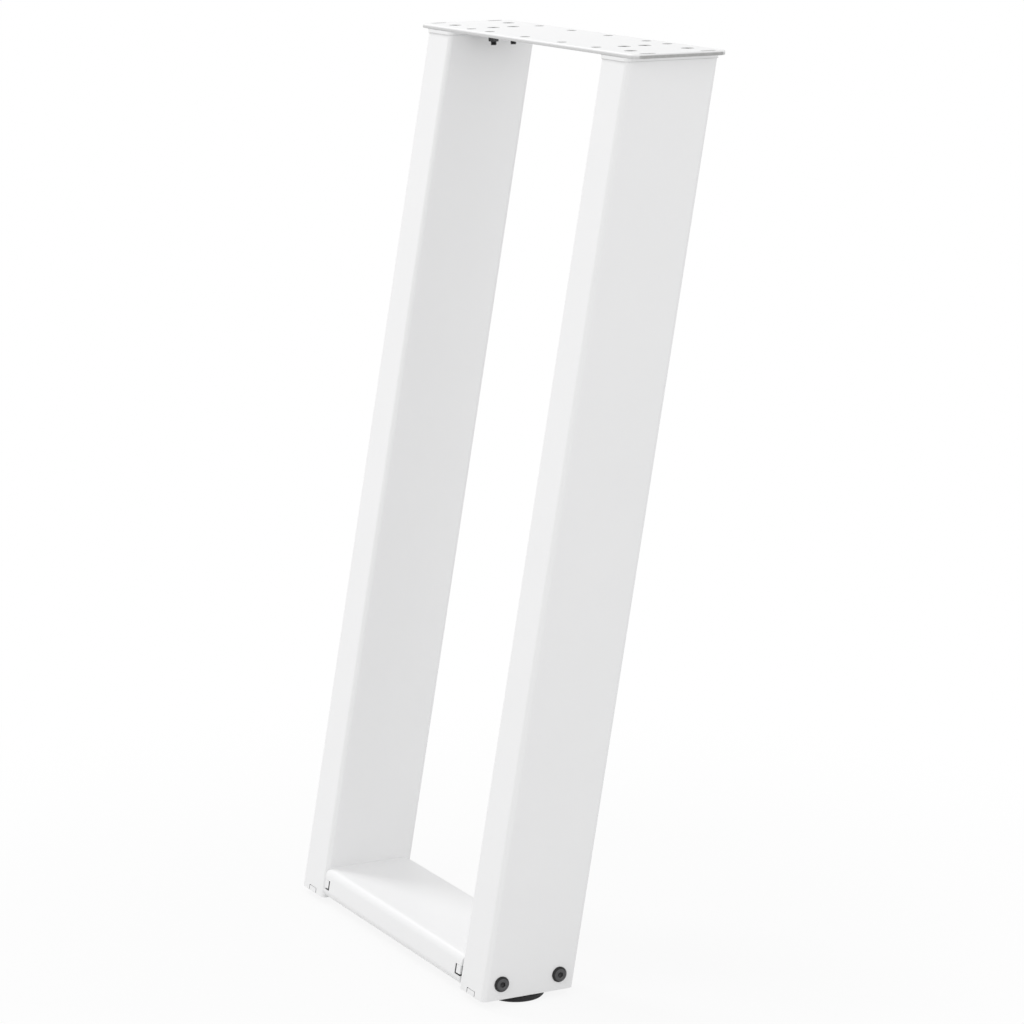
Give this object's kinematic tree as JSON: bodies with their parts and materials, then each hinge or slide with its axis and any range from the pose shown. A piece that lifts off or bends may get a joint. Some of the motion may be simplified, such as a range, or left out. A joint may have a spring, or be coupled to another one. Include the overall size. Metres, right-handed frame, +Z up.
{
  "type": "u shaped table leg",
  "caption": "Leaning U-shaped steel table leg: drilled top plate, flat rectangular uprights, a low bolted crossbar and black levelling feet.",
  "frame": {"origin": "centre of the top plate's upper face, where the leg meets the table top", "axes": "+Z up, square to the plate; +X along the plate; the lower ends stand towards -Y of the plate"},
  "size_m": [0.366, 0.2058, 0.725],
  "materials": {
    "white_powder_coat": "satin",
    "black_steel": "satin",
    "black_plastic": "matte"
  },
  "bodies": {
    "frame": {"top_plate": "white_powder_coat", "crossbar": "white_powder_coat", "left_upright": "white_powder_coat", "left_top_flange": "white_powder_coat", "left_foot_plate": "white_powder_coat", "left_crossbar_end_plate": "white_powder_coat", "left_foot_nut": "black_steel", "left_front_crossbar_bolt": "black_steel", "left_front_cap_screw": "black_steel", "left_front_cap_nut": "black_steel", "left_front_tongue_screw": "black_steel", "left_front_tongue_nut": "black_steel", "left_back_crossbar_bolt": "black_steel", "left_back_cap_screw": "black_steel", "left_back_cap_nut": "black_steel", "left_back_tongue_screw": "black_steel", "left_back_tongue_nut": "black_steel", "right_upright": "white_powder_coat", "right_top_flange": "white_powder_coat", "right_foot_plate": "white_powder_coat", "right_crossbar_end_plate": "white_powder_coat", "right_foot_nut": "black_steel", "right_front_crossbar_bolt": "black_steel", "right_front_cap_screw": "black_steel", "right_front_cap_nut": "black_steel", "right_front_tongue_screw": "black_steel", "right_front_tongue_nut": "black_steel", "right_back_crossbar_bolt": "black_steel", "right_back_cap_screw": "black_steel", "right_back_cap_nut": "black_steel", "right_back_tongue_screw": "black_steel", "right_back_tongue_nut": "black_steel"},
    "left_foot": {"left_foot_stud": "black_steel", "left_foot_pad": "black_plastic"},
    "right_foot": {"right_foot_stud": "black_steel", "right_foot_pad": "black_plastic"}
  },
  "joints": [
    {"name": "left_foot_height", "type": "slide", "parent": "frame", "child": "left_foot", "axis": [0, 0, -1], "range_m": [0, 0.01]},
    {"name": "right_foot_height", "type": "slide", "parent": "frame", "child": "right_foot", "axis": [0, 0, -1], "range_m": [0, 0.01]}
  ]
}
